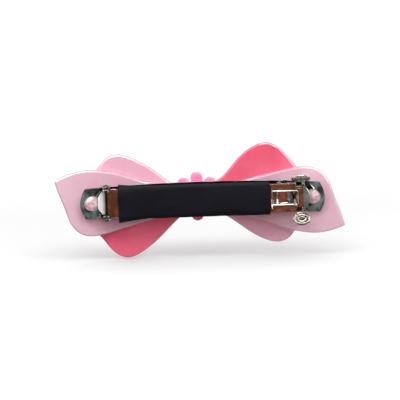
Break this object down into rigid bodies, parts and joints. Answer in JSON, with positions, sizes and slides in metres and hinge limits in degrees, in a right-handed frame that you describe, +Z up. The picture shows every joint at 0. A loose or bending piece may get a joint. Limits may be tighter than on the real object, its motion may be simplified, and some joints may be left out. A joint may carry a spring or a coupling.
{
  "type": "hair barrette",
  "caption": "Layered acetate bow barrette on an automatic French clip with a satin-sleeved clasp arm, squeeze catch and tension bar.",
  "frame": {"origin": "the middle of the gap that holds the hair, at the barrette's mid length", "axes": "+X along the barrette from the hinge to the catch, +Z up as worn, -Y towards the head, +Y towards the bow's front"},
  "size_m": [0.0948, 0.0275, 0.0369],
  "materials": {
    "plate_chrome": "polished",
    "arm_chrome": "polished",
    "leaf_chrome": "polished",
    "spring_steel": "bright rolled",
    "black_satin": "satin weave",
    "milky_acetate": "polished milky translucent",
    "rose_acetate": "polished translucent",
    "blush_acetate": "polished milky translucent",
    "daisy_pink": "glossy",
    "bead_pearl": "pearl gloss",
    "clear_glue": "set clear glue"
  },
  "bodies": {
    "bow_and_plate": {"base_plate": "plate_chrome", "hinge_pin": "plate_chrome", "catch_saddle": "plate_chrome", "wing_sheet": "milky_acetate", "rose_sheet": "rose_acetate", "blush_sheet": "blush_acetate", "wing_rose_joint": "clear_glue", "rose_blush_joint": "clear_glue", "daisy_flower": "daisy_pink", "daisy_bead": "bead_pearl", "daisy_glue": "clear_glue", "glue_pad_hinge_end": "clear_glue", "glue_pad_centre": "clear_glue", "glue_pad_catch_end": "clear_glue"},
    "clasp": {"clasp_arm": "arm_chrome", "arm_sleeve": "black_satin"},
    "spring_bar": {"tension_bar": "spring_steel"},
    "upper_leaf": {"catch_leaf_upper": "leaf_chrome"},
    "lower_leaf": {"catch_leaf_lower": "leaf_chrome"}
  },
  "joints": [
    {"name": "arm_open", "type": "hinge", "parent": "bow_and_plate", "child": "clasp", "pos_m": [-0.0315, -0.003, 0], "axis": [0, 0, -1], "range_deg": [0, 85]},
    {"name": "squeeze_upper", "type": "hinge", "parent": "bow_and_plate", "child": "upper_leaf", "pos_m": [0.0318, -0.00199, 0.00045], "axis": [1, 0, 0], "range_deg": [0, 8], "stiffness_Nm_per_rad": 0.05},
    {"name": "squeeze_lower", "type": "hinge", "parent": "bow_and_plate", "child": "lower_leaf", "pos_m": [0.0318, -0.00199, -0.00045], "axis": [-1, 0, 0], "range_deg": [0, 8], "stiffness_Nm_per_rad": 0.05},
    {"name": "bar_press", "type": "hinge", "parent": "bow_and_plate", "child": "spring_bar", "pos_m": [-0.0315, -0.003, 0], "axis": [0, 0, 1], "range_deg": [0, 2], "stiffness_Nm_per_rad": 0.3}
  ]
}
